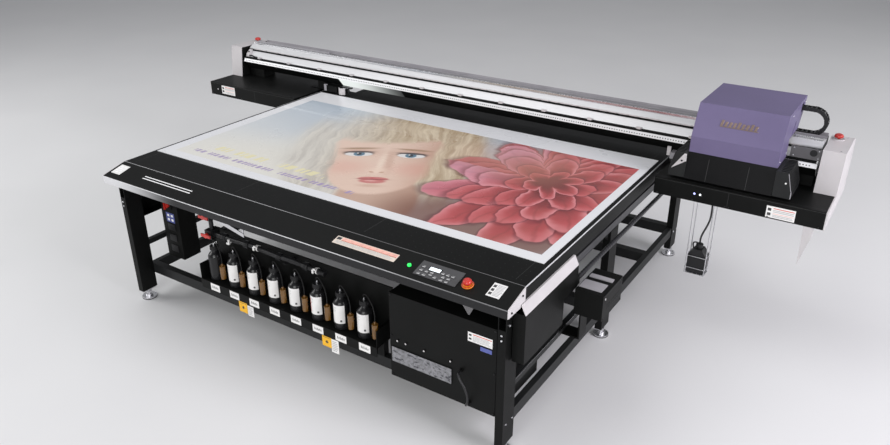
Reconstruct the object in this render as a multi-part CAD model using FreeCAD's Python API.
"""Large-format flatbed UV printer, built as an assembly of separate nodes.

Frame of the part: millimetres, +X to the operator's right, +Y away from the
operator, +Z up, origin on the floor under the middle of the machine.
"""

import FreeCAD, Part
import math
import os

V = FreeCAD.Vector

# ---------------------------------------------------------------- dimensions
OVERALL_WIDTH = 4336.0
OVERALL_DEPTH = 2450.0
BED_TOP = 850.0

HALF_WIDTH = OVERALL_WIDTH / 2
HALF_DEPTH = OVERALL_DEPTH / 2

# bed and operation panel
BED_X = (-1271.0, 1271.0)
BED_FRONT = -1077.0
BED_BACK = 700.0
BED_PLATE = 8.0
BED_RIM_BOTTOM = 765.0
SHEET_X = (-1250.0, 1250.0)
SHEET_Y = (-870.0, 561.0)
SHEET_THICK = 3.0
PANEL_DROP = 36.0
PANEL_NOSE_Y = -1220.0
PANEL_FRONT_Y = -1222.0
PANEL_BOTTOM = 771.0
PANEL_HALF = 1271.0
NOSE_TRIM_TOP = 812.0
TRIM_Z = (BED_TOP - 6, BED_TOP)
WALL = 3.0

# frame
SIDE_BEAM_X = (1200.0, 1240.0)
SIDE_BEAM_Z = (665.0, 765.0)
SIDE_BEAM_Y = (-1165.0, 1180.0)
LEG_Y = ((-1165.0, -1065.0), (-60.0, 40.0), (1080.0, 1180.0))
CROSS_BEAM_Y = (-1005.0, -380.0, 245.0, 870.0, 1140.0)
CROSS_BEAM_Z = (680.0, 760.0)
LEG_BOTTOM = 60.0
LOWER_RAIL_X = (1205.0, 1235.0)
LOWER_RAIL_Z = (150.0, 210.0)
TIE_RAIL_Z = (335.0, 365.0)

# side skirts
SKIRT_OUT = 1301.0
SKIRT_IN = 1243.0
SKIRT_Y = (-1117.0, -606.0)

# linear rails, saddles and screws
RAIL_X = (1240.0, 1262.0)
RAIL_Z = (700.0, 740.0)
RAIL_Y = (-600.0, 1175.0)
SADDLE_X = (1262.5, 1292.0)
SADDLE_Y = (712.0, 940.0)
SCREW_X = 1278.0
SCREW_Z = 640.0
SCREW_R = 12.0

# wings, caps and side plates
WING_X = (1310.0, 2162.0)
WING_Y = (335.0, 945.0)
WING_Z = (755.0, BED_TOP)
CAP_X = (2060.0, 2162.0)
CAP_TOP = 1072.0
CAP_BACK = 865.0

# gantry beam cross-section, as (y, z)
BEAM_HALF = 2048.0
BEAM_SECTION = [
    (636, 909), (587, 966), (596, 989), (612, 989), (612, 1001), (655, 1036),
    (662, 1036), (662, 1056), (658, 1056), (693, 1077), (760, 1077), (760, 909),
]
BEAM_HOLLOW = [
    (645, 918), (604, 966), (622, 983), (622, 994), (672, 1030), (672, 1062),
    (696, 1068), (750, 1068), (750, 918),
]

# carriage, parked at the right
CAR_X = (1455.0, 1897.0)
COVER_SECTION = [
    (388, 1005), (388, 1090), (470, 1250), (905, 1250), (875, 1187), (788, 1100),
    (578, 1100), (578, 1005),
]
COVER_HOLLOW = [
    (392, 1000), (392, 1089), (472.5, 1246), (899, 1246), (871.5, 1189),
    (787, 1104.5), (787, 1095), (582, 1095), (582, 1000),
]
HOUSING_BOTTOM = 865.0
HOUSING_Y = (357.0, 570.0)
LAMP_FLARE = 88.0

# belt drive
PULLEY_X = 2010.0
PULLEY_Z = 1039.0
PULLEY_R = 20.0
BELT_Y = (768.0, 783.0)
BELT_THICK = 2.0

# ink station
BOTTLES = 8
BOTTLE_PITCH = 145.6
BOTTLE_FIRST_X = -563.0
BOTTLE_Y = -1112.0
BOTTLE_R = 38.0
TRAY_FLOOR = 336.0
TRAY_Y = (-1168.0, -1030.0)
TANK_STEP = 85.0
TANK_Y = -1145.0
TANK_R = 15.0
TANK_Z = 372.0
PLATE_STEP = 38.0

# electric cabinet, and the closed box beside the right skirt
CABINET_X = (640.0, 1195.0)
CABINET_Y = (-1160.0, -760.0)
CABINET_Z = (212.0, 660.0)
SIDE_BOX_X = (1316.0, 1452.0)
SIDE_BOX_Y = (-665.0, -437.0)
SIDE_BOX_Z = (520.0, 650.0)

# vacuum blower and its pipes
BLOWER_Y = 300.0
BLOWER_Z = 430.0
BLOWER_R = 160.0
MOTOR_R = 85.0
VALVE_X = -588.0
VALVE_Z = (698.0, 590.0)

# front controls, as (x, distance down the slope)
KEYPAD_X = (800.0, 1010.0)
KEYPAD_DOWN = (33.0, 122.0)
DISPLAY = (881.0, 68.0)
ESTOP = (1053.0, 88.0)
LAMP = (758.0, 85.0)

# capping station and wiper
CAPPING_X = (1510.0, 1840.0)
HEAD_X = (1520.0, 1830.0)
HEAD_Y = (420.0, 545.0)

# waste bottle that hangs under the right wing
WASTE_X = (1530.0, 1640.0)
WASTE_Y = (345.0, 425.0)
WASTE_Z = (326.0, 500.0)

nodes = {}


# -------------------------------------------------------------------- helpers
def add(node, *shapes):
    nodes.setdefault(node, []).extend(shapes)


def box(x0, x1, y0, y1, z0, z1):
    low = V(min(x0, x1), min(y0, y1), min(z0, z1))
    return Part.makeBox(abs(x1 - x0), abs(y1 - y0), abs(z1 - z0), low)


def prism_x(points, x0, x1):
    """Solid with a (y, z) outline, from x0 to x1."""
    loop = [V(min(x0, x1), y, z) for y, z in points]
    face = Part.Face(Part.makePolygon(loop + loop[:1]))
    return face.extrude(V(abs(x1 - x0), 0, 0))


def prism_y(points, y0, y1):
    """Solid with an (x, z) outline, from y0 to y1."""
    loop = [V(x, min(y0, y1), z) for x, z in points]
    face = Part.Face(Part.makePolygon(loop + loop[:1]))
    return face.extrude(V(0, abs(y1 - y0), 0))


def rod(x, y, z, radius, length, axis):
    return Part.makeCylinder(radius, length, V(x, y, z), V(*axis))


def tube_box(x0, x1, y0, y1, z0, z1, along, wall=4.0):
    """Rectangular tube, open at both ends along x, y or z."""
    inset = [wall, wall, wall]
    inset["xyz".index(along)] = -1.0
    dx, dy, dz = inset
    inner = box(x0 + dx, x1 - dx, y0 + dy, y1 - dy, z0 + dz, z1 - dz)
    return box(x0, x1, y0, y1, z0, z1).cut(inner)


def mirrored(shape):
    return shape.mirror(V(0, 0, 0), V(1, 0, 0))


def both(node, shape):
    """The shape as given at the right, and its mirror image at the left."""
    add(node, shape, mirrored(shape))


def pipe(points, radius):
    """Round bar along straight runs joined by tangent arcs."""
    pts = [V(*p) for p in points]
    edges = []
    here = pts[0]
    for a, b, c in zip(pts, pts[1:], pts[2:]):
        u = (b - a).normalize()
        w = (c - b).normalize()
        turn = u.getAngle(w)
        cut = 0.45 * min((b - a).Length, (c - b).Length)
        start = b - u * cut
        end = b + w * cut
        bend = cut / math.tan(turn / 2)
        inward = (w - u).normalize()
        middle = b + inward * (bend / math.cos(turn / 2) - bend)
        edges.append(Part.LineSegment(here, start).toShape())
        edges.append(Part.Arc(start, middle, end).toShape())
        here = end
    edges.append(Part.LineSegment(here, pts[-1]).toShape())
    path = Part.Wire(edges)
    ring = Part.Wire(Part.makeCircle(radius, pts[0], (pts[1] - pts[0]).normalize()))
    return path.makePipeShell([ring], True, True)


# slope of the operation panel
SLOPE = math.atan2(PANEL_DROP, BED_FRONT - PANEL_NOSE_Y)


def on_slope(shape, x, down):
    """Moves a shape made about the origin onto the panel's slope.

    The shape's z = 0 plane becomes the slope, x is along the machine, and down
    is the distance from the panel's upper edge, measured along the slope.
    """
    placed = shape.copy()
    placed.rotate(V(0, 0, 0), V(1, 0, 0), math.degrees(SLOPE))
    y = BED_FRONT - down * math.cos(SLOPE)
    z = BED_TOP - down * math.sin(SLOPE)
    placed.translate(V(x, y, z))
    return placed


# ---------------------------------------------------------------------- frame
for y0, y1 in LEG_Y:
    both("frame_legs", tube_box(*SIDE_BEAM_X, y0, y1, LEG_BOTTOM, SIDE_BEAM_Z[0], "z"))
    plate = box(SIDE_BEAM_X[0] + 5, SIDE_BEAM_X[1] - 5, y0 + 5, y1 - 5, 52, LEG_BOTTOM)
    both("levelling_feet", plate)
    x_mid = sum(SIDE_BEAM_X) / 2
    y_mid = (y0 + y1) / 2
    both("levelling_feet", rod(x_mid, y_mid, 24, 10, 28, (0, 0, 1)))
    both("levelling_feet", rod(x_mid, y_mid, 0, 42, 12, (0, 0, 1)))
    both("levelling_feet", rod(x_mid, y_mid, 12, 20, 12, (0, 0, 1)))

side_beam = tube_box(*SIDE_BEAM_X, *SIDE_BEAM_Y, *SIDE_BEAM_Z, "y")
both("frame_beams", side_beam)
for y in CROSS_BEAM_Y:
    cross = tube_box(-SIDE_BEAM_X[0], SIDE_BEAM_X[0], y - 40, y + 40, *CROSS_BEAM_Z, "x")
    add("frame_beams", cross)

for (_, bay_start), (bay_end, _) in zip(LEG_Y, LEG_Y[1:]):
    side_rail = tube_box(*LOWER_RAIL_X, bay_start, bay_end, *LOWER_RAIL_Z, "y", 3.0)
    both("lower_rails", side_rail)
for y in (-25.0, 1125.0):
    between_legs = tube_box(-SIDE_BEAM_X[0], SIDE_BEAM_X[0], y - 25, y + 25, *LOWER_RAIL_Z, "x", 3.0)
    add("lower_rails", between_legs)
# two more between the side rails: one carries the cabinet and the ink tray, one the blower
for y0, y1 in ((-1065.0, -1025.0), (640.0, 690.0)):
    between_rails = tube_box(-LOWER_RAIL_X[0], LOWER_RAIL_X[0], y0, y1, *LOWER_RAIL_Z, "x", 3.0)
    add("lower_rails", between_rails)
# upper tie of each front bay
both("lower_rails", tube_box(*LOWER_RAIL_X, LEG_Y[0][1], LEG_Y[1][0], *TIE_RAIL_Z, "y", 3.0))
# shelf for the vacuum blower
add("lower_rails", box(-360, 240, -50, 690, LOWER_RAIL_Z[1], LOWER_RAIL_Z[1] + 5))

# closing plate between the bed and the rear of the frame
closing = box(-SIDE_BEAM_X[0], SIDE_BEAM_X[0], BED_BACK + 4, SIDE_BEAM_Y[1], 760, 764)
add("frame_beams", closing)

# ------------------------------------------------------------------------ bed
plate = box(*BED_X, BED_FRONT, BED_BACK, BED_TOP - BED_PLATE, BED_TOP)
add("vacuum_bed", plate)
rim_top = BED_TOP - BED_PLATE
rim_z = (BED_RIM_BOTTOM, rim_top)
rim_x = (BED_X[0] + 40, BED_X[1] - 40)
add("vacuum_bed", box(BED_X[0], rim_x[0], BED_FRONT, BED_BACK, *rim_z))
add("vacuum_bed", box(rim_x[1], BED_X[1], BED_FRONT, BED_BACK, *rim_z))
add("vacuum_bed", box(*rim_x, BED_FRONT, BED_FRONT + 20, *rim_z))
add("vacuum_bed", box(*rim_x, BED_BACK - 20, BED_BACK, *rim_z))

# three vacuum chambers under the plate
zone = (BED_X[1] - BED_X[0] - 120) / 3
for i in range(3):
    x0 = BED_X[0] + 60 + zone * i
    outer = box(x0, x0 + zone - 6, -860, 555, 790, rim_top)
    inner = box(x0 + 2, x0 + zone - 8, -858, 553, 792, rim_top + 1)
    add("vacuum_bed", outer.cut(inner))

# thin bright trims along the bed's two sides and on the nose
add("edge_trim", box(BED_X[1], BED_X[1] + 3, BED_FRONT, BED_BACK, *TRIM_Z))
add("edge_trim", box(BED_X[0] - 3, BED_X[0], BED_FRONT, BED_BACK, *TRIM_Z))
nose = box(-PANEL_HALF, PANEL_HALF, -HALF_DEPTH, PANEL_FRONT_Y, PANEL_BOTTOM, NOSE_TRIM_TOP)
add("edge_trim", nose)

# ------------------------------------------------------------ operation panel
outer = [
    (BED_FRONT, BED_TOP),
    (PANEL_NOSE_Y, BED_TOP - PANEL_DROP),
    (PANEL_FRONT_Y, BED_TOP - PANEL_DROP - 3),
    (PANEL_FRONT_Y, PANEL_BOTTOM),
    (BED_FRONT, PANEL_BOTTOM),
]
inner = [
    (BED_FRONT - WALL, BED_TOP - WALL - 1),
    (PANEL_NOSE_Y + WALL, BED_TOP - PANEL_DROP - WALL),
    (PANEL_NOSE_Y + WALL, PANEL_BOTTOM + WALL),
    (BED_FRONT - WALL, PANEL_BOTTOM + WALL),
]
panel = prism_x(outer, -PANEL_HALF, PANEL_HALF)
panel = panel.cut(prism_x(inner, -PANEL_HALF - 1, PANEL_HALF + 1))
add("front_panel", panel)

both("side_trim", prism_x(outer, PANEL_HALF, PANEL_HALF + 4))
strip = [(1280, 785), (SKIRT_OUT, 740), (SKIRT_OUT - 4, 740), (1276, 785)]
both("side_trim", prism_y(strip, *SKIRT_Y))
both("side_trim", box(BED_X[1], 1275.9, BED_FRONT + 1, SKIRT_Y[1], 781, 785))

# keypad with its display and oval keys
film = box(0, KEYPAD_X[1] - KEYPAD_X[0], KEYPAD_DOWN[0] - KEYPAD_DOWN[1], 0, 0.3, 3.0)
add("keypad_panel", on_slope(film, KEYPAD_X[0], KEYPAD_DOWN[0]))
add("keypad_panel", on_slope(box(-30, 30, -13, 13, 3.0, 4.5), *DISPLAY))


def oval_key(x, down, half=11.0, radius=5.0):
    """Key with round ends, 2 mm proud of the keypad's film."""
    end = half - radius
    key = rod(-end, 0, 3.0, radius, 2.0, (0, 0, 1))
    key = key.fuse(rod(end, 0, 3.0, radius, 2.0, (0, 0, 1)))
    key = key.fuse(box(-end, end, -radius, radius, 3.0, 5.0)).removeSplitter()
    return on_slope(key, x, down)


KEYS = (
    (824, 70), (824, 93), (824, 116), (851, 93), (851, 116), (878, 90), (878, 104),
    (903, 112), (924, 78), (949, 78), (974, 78), (936, 97), (963, 97), (936, 116), (963, 116),
)
for x, down in KEYS:
    add("keypad_panel", oval_key(x, down))

add("status_lamp", on_slope(rod(0, 0, 0.3, 9, 6, (0, 0, 1)), *LAMP))
ring = rod(0, 0, 0.3, 26, 5, (0, 0, 1)).cut(rod(0, 0, -1, 11, 20, (0, 0, 1)))
add("front_estop_collar", on_slope(ring, *ESTOP))


def mushroom(radius=22.0, stem=8.0, height=30.0):
    """Mushroom push button about the origin, with its stem down to z = 6."""
    profile = [
        (0, 6), (stem, 6), (stem, 14), (radius, 14), (radius, 22),
        (radius - 3, height - 3), (radius - 9, height), (0, height),
    ]
    loop = [V(r, 0, z) for r, z in profile]
    return Part.Face(Part.makePolygon(loop + loop[:1])).revolve(V(0, 0, 0), V(0, 0, 1), 360)


add("front_estop_button", on_slope(mushroom(radius=19.0, stem=7.5), *ESTOP))

# --------------------------------------------------------------- side skirts
y0, y1 = SKIRT_Y
profile = [(y0, 740), (y1, 740), (y1, 628), (y1 - 140, 628), (y1 - 140, 500), (y0, 500)]
inset = [
    (y0 + 3, 737), (y1 - 3, 737), (y1 - 3, 631), (y1 - 143, 631),
    (y1 - 143, 503), (y0 + 3, 503),
]
skirt = prism_x(profile, SKIRT_IN, SKIRT_OUT).cut(prism_x(inset, SKIRT_IN - 1, SKIRT_OUT - 3))
both("side_skirts", skirt)

# ------------------------------------------------- rails, screws and motors
both("linear_rails", box(*RAIL_X, *RAIL_Y, *RAIL_Z))
screw = rod(SCREW_X, -582, SCREW_Z, SCREW_R, 1716, (0, 1, 0))
add("right_screw", screw)
add("left_screw", mirrored(screw))
for y in (-592.0, 1108.0):
    block = box(SCREW_X - 35, SCREW_X + 13.5, y, y + 32, SCREW_Z - 22, SCREW_Z + 22)
    bore = rod(SCREW_X, y - 1, SCREW_Z, SCREW_R + 0.05, 34, (0, 1, 0))
    both("screw_motors", block.cut(bore))
    both("screw_motors", box(1240, SCREW_X - 35, y, y + 32, SCREW_Z - 22, 686))
motor = box(SCREW_X - 33, SCREW_X + 33, 1140, HALF_DEPTH, SCREW_Z - 33, SCREW_Z + 33)
both("screw_motors", motor)

# ---------------------------------------------------------------- ink station
tray_x = (BOTTLE_FIRST_X - 70, BOTTLE_FIRST_X + BOTTLE_PITCH * (BOTTLES - 1) + 110)
wall_y = (TRAY_Y[0], TRAY_Y[1] - 6)
wall_z = (TRAY_FLOOR, TRAY_FLOOR + 90)
add("ink_tray", box(*tray_x, *TRAY_Y, TRAY_FLOOR - 6, TRAY_FLOOR))
add("ink_tray", box(*tray_x, TRAY_Y[0] - 3, TRAY_Y[0], TRAY_FLOOR - 52, TRAY_FLOOR))
add("ink_tray", box(*tray_x, wall_y[1], TRAY_Y[1], TRAY_FLOOR, TRAY_FLOOR + 260))
add("ink_tray", box(tray_x[0], tray_x[0] + 4, *wall_y, *wall_z))
add("ink_tray", box(tray_x[1] - 4, tray_x[1], *wall_y, *wall_z))
for x in (tray_x[0] + 40, tray_x[1] - 80):
    add("ink_tray", box(x, x + 40, -1065, TRAY_Y[1], LOWER_RAIL_Z[1], TRAY_FLOOR - 6))

bottle_profile = [
    (0, 0), (BOTTLE_R - 3, 0), (BOTTLE_R, 3), (BOTTLE_R, 138), (BOTTLE_R - 6, 150),
    (20, 162), (16, 168), (16, 172), (22, 172), (22, 196), (0, 196),
]
plate_y = (TRAY_Y[0] - 5, TRAY_Y[0] - 3)
for i in range(BOTTLES):
    x = BOTTLE_FIRST_X + BOTTLE_PITCH * i
    loop = [V(r, 0, z) for r, z in bottle_profile]
    bottle = Part.Face(Part.makePolygon(loop + loop[:1])).revolve(V(0, 0, 0), V(0, 0, 1), 360)
    bottle.translate(V(x, BOTTLE_Y, TRAY_FLOOR + 0.3))
    add("ink_bottle_%d" % (i + 1), bottle)
    add("ink_label_plates", box(x + PLATE_STEP - 34, x + PLATE_STEP + 34, *plate_y, 291, 332))
    # sub tank in front, on an arm from the tray's back plate
    tank_x = x + TANK_STEP
    add("sub_tanks", rod(tank_x, TANK_Y, TANK_Z, TANK_R, 74, (0, 0, 1)))
    add("sub_tanks", rod(tank_x, TANK_Y, TANK_Z + 74, 5, 14, (0, 0, 1)))
    arm_y = (TANK_Y + TANK_R + 0.5, wall_y[1])
    add("ink_tray", box(tank_x - 5, tank_x + 5, *arm_y, TANK_Z + 24, TANK_Z + 36))

# ------------------------------------------------- power box and electrics
add("power_box", tube_box(-1165, -1025, -970, -850, 240, 664, "z", 3.0))
add("power_box", box(-1162, -1028, -967, -853, 654, 664))
add("power_box", box(-1162, -1028, -967, -853, 240, 250))
add("power_box", box(-1120, -1070, -974, -970, 560, 610))
# hanger up to the first cross beam
add("power_box", box(-1150, -1040, -969, -966, 664, CROSS_BEAM_Z[0]))
add("power_switch", rod(-1095, -990, 585, 16, 15.5, (0, 1, 0)))
add("power_switch", box(-1099, -1091, -1002, -990, 563, 607))


def closed_box(x0, x1, y0, y1, z0, z1):
    inner = box(x0 + WALL, x1 - WALL, y0 + WALL, y1 - WALL, z0 + WALL, z1 - WALL)
    return box(x0, x1, y0, y1, z0, z1).cut(inner)


cabinet_front = CABINET_Y[0]
add("electric_cabinet", closed_box(*CABINET_X, *CABINET_Y, *CABINET_Z))
add("electric_cabinet", box(650, 976, cabinet_front - 4, cabinet_front, 298, 379))
for x in (684, 730, 830, 970):
    add("electric_cabinet", rod(x, cabinet_front - 6, 419, 5, 6, (0, 1, 0)))
# closed box at the right, on a bracket from the tie rail
add("electric_cabinet", closed_box(*SIDE_BOX_X, *SIDE_BOX_Y, *SIDE_BOX_Z))
bracket = [
    (LOWER_RAIL_X[1], TIE_RAIL_Z[0]), (SIDE_BOX_X[0] + 8, TIE_RAIL_Z[0]),
    (SIDE_BOX_X[0] + 8, SIDE_BOX_Z[0]), (SIDE_BOX_X[0], SIDE_BOX_Z[0]),
    (SIDE_BOX_X[0], TIE_RAIL_Z[0] + 8), (LOWER_RAIL_X[1], TIE_RAIL_Z[0] + 8),
]
add("electric_cabinet", prism_y(bracket, -590, -510))

# --------------------------------------------------------- vacuum equipment
shelf = LOWER_RAIL_Z[1] + 5
drum = rod(-300, BLOWER_Y, BLOWER_Z, BLOWER_R, 200, (1, 0, 0))
motor = rod(-100, BLOWER_Y, BLOWER_Z, MOTOR_R, 230, (1, 0, 0))
add("vacuum_blower", drum, motor)
add("vacuum_blower", box(-290, -110, 200, 400, shelf, 300).cut(drum))
add("vacuum_blower", box(-60, 100, 240, 360, shelf, 360).cut(motor))
add("vacuum_blower", box(-240, -160, 260, 340, 560, 679.5).cut(drum))

for z in VALVE_Z:
    add("vacuum_pipes", box(VALVE_X - 24, VALVE_X + 24, -1120, -1060, z - 24, z + 24))
    add("vacuum_pipes", rod(VALVE_X, -1124, z, 9, 4, (0, 1, 0)))
add("vacuum_pipes", rod(VALVE_X, -1090, VALVE_Z[1] + 24, 12, VALVE_Z[0] - VALVE_Z[1] - 48, (0, 0, 1)))
add("vacuum_pipes", rod(VALVE_X + 24, -1090, VALVE_Z[1], 14, 90, (1, 0, 0)))
main_pipe = pipe(
    [(VALVE_X + 114, -1090, VALVE_Z[1]), (-390, -1090, 590), (-300, -1086, 594), (-210, -1088, 590),
     (-110, -1090, 588), (0, -1088, 590), (110, -1088, 584), (200, -1088, 580)],
    14,
)
add("vacuum_pipes", main_pipe)
add("vacuum_pipes", box(-60, -40, -1110, wall_y[1] - 0.5, 570, 572))

for name, z in zip(("valve_handle_upper", "valve_handle_lower"), VALVE_Z):
    lever = box(VALVE_X - 34, VALVE_X + 34, -1140, -1132, z - 8, z + 8)
    hub = rod(VALVE_X, -1140, z, 13, 15.7, (0, 1, 0))
    add(name, hub.fuse(lever))

# ----------------------------------------------------------------- loop cable
for x, z in ((1025.0, 392.0), (1066.0, 236.0)):
    add("electric_cabinet", rod(x, -1173, z, 9, 13, (0, 1, 0)))
cable = pipe(
    [(1025, -1173, 392), (1025, -1190, 392), (1040, -1200, 374), (1066, -1203, 344),
     (1082, -1203, 306), (1084, -1202, 272), (1066, -1190, 236), (1066, -1173, 236)],
    5,
)
add("loop_cable", cable)

# --------------------------------------------------------------- media sheet
add("media_sheet", box(*SHEET_X, *SHEET_Y, BED_TOP + 0.3, BED_TOP + 0.3 + SHEET_THICK))

# -------------------------------------------------------------- gantry wings
x0, x1 = WING_X
y0, y1 = WING_Y
z0, z1 = WING_Z
slot_y = (HEAD_Y[0] - 16, HEAD_Y[1] + 16)
slot_z = (z0 + 12, z1 + 5)
inside_z = (z0 + 4, z1 - 4)
cap_slot = box(CAPPING_X[0] - 6, CAPPING_X[1] + 6, *slot_y, *slot_z)
wiper_slot = box(1852, 1902, *slot_y, *slot_z)
wing = box(x0, x1, y0, y1, z0, z1)
hollow_front = box(x0 + 4, x1 - 4, y0 + 4, HEAD_Y[0] - 20, *inside_z)
hollow_back = box(x0 + 4, x1 - 4, HEAD_Y[1] + 20, y1 - 4, *inside_z)
right_wing = wing.cut(cap_slot).cut(wiper_slot).cut(hollow_front).cut(hollow_back)
left_wing = mirrored(wing.cut(box(x0 + 4, x1 - 4, y0 + 4, y1 - 4, *inside_z)))
add("wing_housings", right_wing, left_wing)

# waste bottle with its cradle: a base, four corner rods and two straps
x0, x1 = WASTE_X
y0, y1 = WASTE_Y
z0, z1 = WASTE_Z
shoulder = [
    (x0 + 8, z0 + 6.5), (x1 - 8, z0 + 6.5), (x1 - 8, z1 - 60), (x1 - 34, z1 - 24),
    (x0 + 34, z1 - 24), (x0 + 8, z1 - 60),
]
add("waste_bottle", prism_y(shoulder, y0 + 8, y1 - 8))
middle_x = (x0 + x1) / 2
middle_y = (y0 + y1) / 2
add("waste_bottle", rod(middle_x, middle_y, z1 - 24, 17, 24, (0, 0, 1)))
add("waste_bottle", box(x0, x1, y0, y1, z0, z0 + 6))
for x in (x0 + 3, x1 - 3):
    for y in (y0 + 3, y1 - 3):
        add("waste_bottle", rod(x, y, z0 + 6, 3, WING_Z[0] - z0 - 6, (0, 0, 1)))

cap_profile = [(562, BED_TOP), (588, CAP_TOP), (CAP_BACK, CAP_TOP), (CAP_BACK, BED_TOP)]
cap_inner = [
    (566, BED_TOP - 1), (592, CAP_TOP - 4),
    (CAP_BACK - 4, CAP_TOP - 4), (CAP_BACK - 4, BED_TOP - 1),
]
cap = prism_x(cap_profile, *CAP_X).cut(prism_x(cap_inner, CAP_X[0] - 1, CAP_X[1] - 4))
both("end_caps", cap)
collar = rod(2098, 800, CAP_TOP, 30, 5, (0, 0, 1))
collar = collar.cut(rod(2098, 800, CAP_TOP - 1, 11, 20, (0, 0, 1)))
both("end_caps", collar)
cap_button = mushroom()
cap_button.translate(V(2098, 800, CAP_TOP))
add("right_estop_button", cap_button)
add("left_estop_button", mirrored(cap_button))

low_plate = prism_x([(335, 752), (335, 850), (945, 850), (945, 752)], WING_X[1], HALF_WIDTH)
both("side_plates", low_plate)
high_plate = prism_x(
    [(562, 850), (588, CAP_TOP), (870, CAP_TOP), (945, 1040), (945, 850)], WING_X[1], HALF_WIDTH
)
both("side_plates", high_plate)
# tapered guard that hangs below the right wing, around the drain
guard = [(2074, 754.5), (2118, 754.5), (2116, 690), (2079, 538)]
add("side_plates", prism_y(guard, 336, 396))

# ------------------------------------------------ saddles, posts and nuts
for y in (720.0, 852.0):
    shoe = box(RAIL_X[0] + 0.4, SADDLE_X[1], y, y + 80, 688, 752)
    slot = box(RAIL_X[0], RAIL_X[1] + 0.4, y - 1, y + 81, RAIL_Z[0] - 0.4, RAIL_Z[1] + 0.4)
    both("saddles", shoe.cut(slot))
both("saddles", box(SADDLE_X[1], 1310, *SADDLE_Y, 612, 755))
both("saddles", box(1310, 1420, *SADDLE_Y, 743, 755))
nut = box(SCREW_X - 24, SADDLE_X[1], 790, 860, SCREW_Z - 24, SCREW_Z + 24)
nut = nut.cut(rod(SCREW_X, 780, SCREW_Z, SCREW_R + 0.05, 100, (0, 1, 0)))
both("saddles", nut)

both("gantry_posts", box(1282, 1349, 640, 756, BED_TOP + 4, 909))
both("gantry_posts", box(1282, 1420, 640, 756, BED_TOP, BED_TOP + 4))
both("gantry_posts", box(1900, 2040, 640, 756, BED_TOP, 909))
add("gantry_posts", box(-1216, -1120, 580, 634, 862, 905))
add("gantry_posts", box(-1216, -1120, 634, 640, 862, 909))

# --------------------------------------------------------- beam and its gear
beam = prism_x(BEAM_SECTION, -BEAM_HALF, BEAM_HALF)
beam = beam.cut(prism_x(BEAM_HOLLOW, -BEAM_HALF - 1, BEAM_HALF + 1))
for x in (-PULLEY_X, PULLEY_X):
    beam = beam.cut(rod(x, 745, PULLEY_Z, 6.05, 20, (0, 1, 0)))
add("gantry_beam", beam)
add("carriage_rails", box(-2040, 2040, 700, 715, 1077, 1091))
add("carriage_rails", box(-2040, 2040, 599, 611, 989, 999))
add("cable_tray", box(-2044, -1325, 731, 758, 1077, 1093))
add("cable_tray", box(-2044, 2044, 786, 850, 1060, 1063))
add("cable_tray", box(-2044, 2044, 847, 850, 1063, 1082))
add("cable_tray", box(-2044, 2044, 783.5, 786, 1060, 1082))
for x in (-1900.0, -1140.0, -380.0, 380.0, 1140.0, 1900.0):
    add("cable_tray", box(x - 20, x + 20, 760, 850, 1001, 1006))
    add("cable_tray", box(x - 20, x + 20, 845, 850, 1006, 1060))


def stadium(radius, y0, y1):
    """Flat-sided loop about both pulleys, as a solid from y0 to y1."""
    z = PULLEY_Z
    x = PULLEY_X
    top = Part.LineSegment(V(-x, y0, z + radius), V(x, y0, z + radius)).toShape()
    right = Part.Arc(V(x, y0, z + radius), V(x + radius, y0, z), V(x, y0, z - radius)).toShape()
    low = Part.LineSegment(V(x, y0, z - radius), V(-x, y0, z - radius)).toShape()
    left = Part.Arc(V(-x, y0, z - radius), V(-x - radius, y0, z), V(-x, y0, z + radius)).toShape()
    return Part.Face(Part.Wire([top, right, low, left])).extrude(V(0, y1 - y0, 0))


belt = stadium(PULLEY_R + BELT_THICK, *BELT_Y).cut(
    stadium(PULLEY_R, BELT_Y[0] - 1, BELT_Y[1] + 1)
)
add("drive_belt", belt)
for name, x in (("drive_pulley", PULLEY_X), ("idler_pulley", -PULLEY_X)):
    wheel = rod(x, BELT_Y[0] - 1, PULLEY_Z, PULLEY_R - 0.3, 17, (0, 1, 0))
    shaft = rod(x, BELT_Y[0] - 20, PULLEY_Z, 6, 38, (0, 1, 0))
    wheel = wheel.fuse(shaft)
    for k in range(5):
        a = 2 * math.pi * k / 5
        hole_x = x + 13 * math.cos(a)
        hole_z = PULLEY_Z + 13 * math.sin(a)
        wheel = wheel.cut(rod(hole_x, BELT_Y[0] - 3, hole_z, 3, 22, (0, 1, 0)))
    add(name, wheel)
add("beam_motor", box(PULLEY_X - 35, PULLEY_X + 34, 788, 880, PULLEY_Z - 60, PULLEY_Z + 20))
add("beam_motor", box(PULLEY_X - 28, PULLEY_X + 28, 761, 788, PULLEY_Z - 60, PULLEY_Z - 26))

# ------------------------------------------------ capping station and wiper
cap_base = box(CAPPING_X[0], CAPPING_X[1], HEAD_Y[0] - 10, HEAD_Y[1] + 10, 790, 826)
cups = [cap_base]
for i in range(4):
    x = HEAD_X[0] + 8 + 76 * i
    cup = box(x, x + 66, HEAD_Y[0] + 4, HEAD_Y[1] - 4, 826, 855.5)
    cups.append(cup.cut(box(x + 4, x + 62, HEAD_Y[0] + 8, HEAD_Y[1] - 8, 840, 860)))
add("capping_station", *cups)
add("wiper", box(1858, 1896, 410, 440, 790, 842))
add("wiper", box(1862, 1892, 423, 426, 842, 855.5))

# ------------------------------------------------------------------- carriage
x0, x1 = CAR_X
cover = prism_x(COVER_SECTION, x0, x1).cut(prism_x(COVER_HOLLOW, x0 + 4, x1 - 4))
cover = cover.cut(box(x1 - 6, x1 + 1, 786, 846, 1184, 1230))
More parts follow.
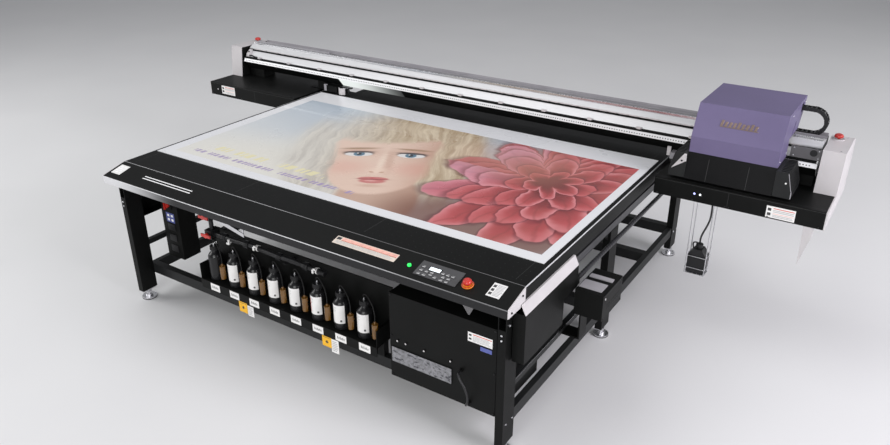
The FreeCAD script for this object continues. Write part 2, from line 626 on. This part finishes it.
# slanted hand slot in each side
slot_ends = ((635.0, 1112.0), (690.0, 1158.0))
slot = rod(x0 - 1, *slot_ends[0], 9, x1 - x0 + 2, (1, 0, 0))
slot = slot.fuse(rod(x0 - 1, *slot_ends[1], 9, x1 - x0 + 2, (1, 0, 0)))
(ya, za), (yb, zb) = slot_ends
run = math.hypot(yb - ya, zb - za)
ny, nz = 9 * (zb - za) / run, -9 * (yb - ya) / run
quad = [(ya + ny, za + nz), (yb + ny, zb + nz), (yb - ny, zb - nz), (ya - ny, za - nz)]
slot = slot.fuse(prism_x(quad, x0 - 1, x1 + 1))
add("carriage_cover", cover.cut(slot))

y0, y1 = HOUSING_Y
house_profile = [(y0, HOUSING_BOTTOM), (388, 1004.5), (y1, 1004.5), (y1, HOUSING_BOTTOM)]
house_inner = [
    (y0 + 4, HOUSING_BOTTOM - 1), (392, 1006), (y1 - 4, 1006), (y1 - 4, HOUSING_BOTTOM - 1),
]
housing = prism_x(house_profile, x0, x1).cut(prism_x(house_inner, x0 + 4, x1 - 4))
add("lower_housing", housing)

flare = [
    (x1 + 0.5, HOUSING_BOTTOM), (x1 + LAMP_FLARE, HOUSING_BOTTOM),
    (x1 + LAMP_FLARE, 905), (x1 + 62, 1000), (x1 + 0.5, 1000),
]
lamp = prism_y(flare, 362, 566)
for i in range(9):
    y = 372 + 22 * i
    slot = box(x1 + 20, x1 + LAMP_FLARE + 1, y, y + 12, 885, 1001)
    lamp = lamp.cut(slot)
middle = (x0 + x1) / 2
add("uv_lamps", lamp, lamp.mirror(V(middle, 0, 0), V(1, 0, 0)))

add("carriage_plate", box(1475, 1877, 574.5, 770, 1098, 1110))
add("carriage_plate", box(1475, 1877, 570.5, 574.5, 880, 1110))
add("carriage_plate", box(1475, 1877, 574.5, 584, 1010, 1098))
for x in (1490.0, 1780.0):
    shoe = box(x, x + 80, 694, 721, 1080, 1098)
    shoe = shoe.cut(box(x - 1, x + 81, 699.6, 715.4, 1070, 1091.4))
    add("carriage_plate", shoe)
    add("carriage_plate", box(x, x + 80, 574.5, 598.6, 990, 1000))
add("carriage_plate", box(1640, 1700, 770, 783, PULLEY_Z + PULLEY_R + BELT_THICK + 0.3, 1110))

heads = [box(HEAD_X[0] - 10, HEAD_X[1] + 10, HEAD_Y[0] - 10, HEAD_Y[1] + 10, 905, 913)]
for i in range(4):
    x = HEAD_X[0] + 10 + 76 * i
    heads.append(box(x, x + 62, HEAD_Y[0] + 6, HEAD_Y[1] - 6, 856, 905))
    heads.append(box(x + 6, x + 56, HEAD_Y[0] + 20, HEAD_Y[1] - 20, 913, 985))
add("head_unit", *heads)


def chain():
    """Bent cable carrier from the carriage to the tray behind the beam."""
    y0, y1 = 795.0, 840.0
    z_low, z_high = 1075.0, 1206.0
    mid = (z_low + z_high) / 2
    r = (z_high - z_low) / 2
    x = 1960.0
    t = 11.0

    def band(radius):
        start_high = V(1840, y0, mid + radius)
        bend_high = V(x, y0, mid + radius)
        bend_low = V(x, y0, mid - radius)
        start_low = V(1840, y0, mid - radius)
        top = Part.LineSegment(start_high, bend_high).toShape()
        arc = Part.Arc(bend_high, V(x + radius, y0, mid), bend_low).toShape()
        low = Part.LineSegment(bend_low, start_low).toShape()
        end = Part.LineSegment(start_low, start_high).toShape()
        return Part.Face(Part.Wire([top, arc, low, end])).extrude(V(0, y1 - y0, 0))

    gap = band(r - t)
    gap = gap.fuse(box(1839, 1845, y0 - 1, y1 + 1, mid - r + t, mid + r - t))
    return band(r + t).cut(gap)


add("chain_bend", chain())

# --------------------------------------------------------------------- export
os.makedirs("parts", exist_ok=True)
for name, shapes in nodes.items():
    solids = [solid for shape in shapes for solid in shape.Solids]
    for solid in solids:
        assert solid.isValid() and solid.Volume > 0, name
    Part.makeCompound(solids).exportStep("parts/%s.step" % name)
print(len(nodes), "nodes")
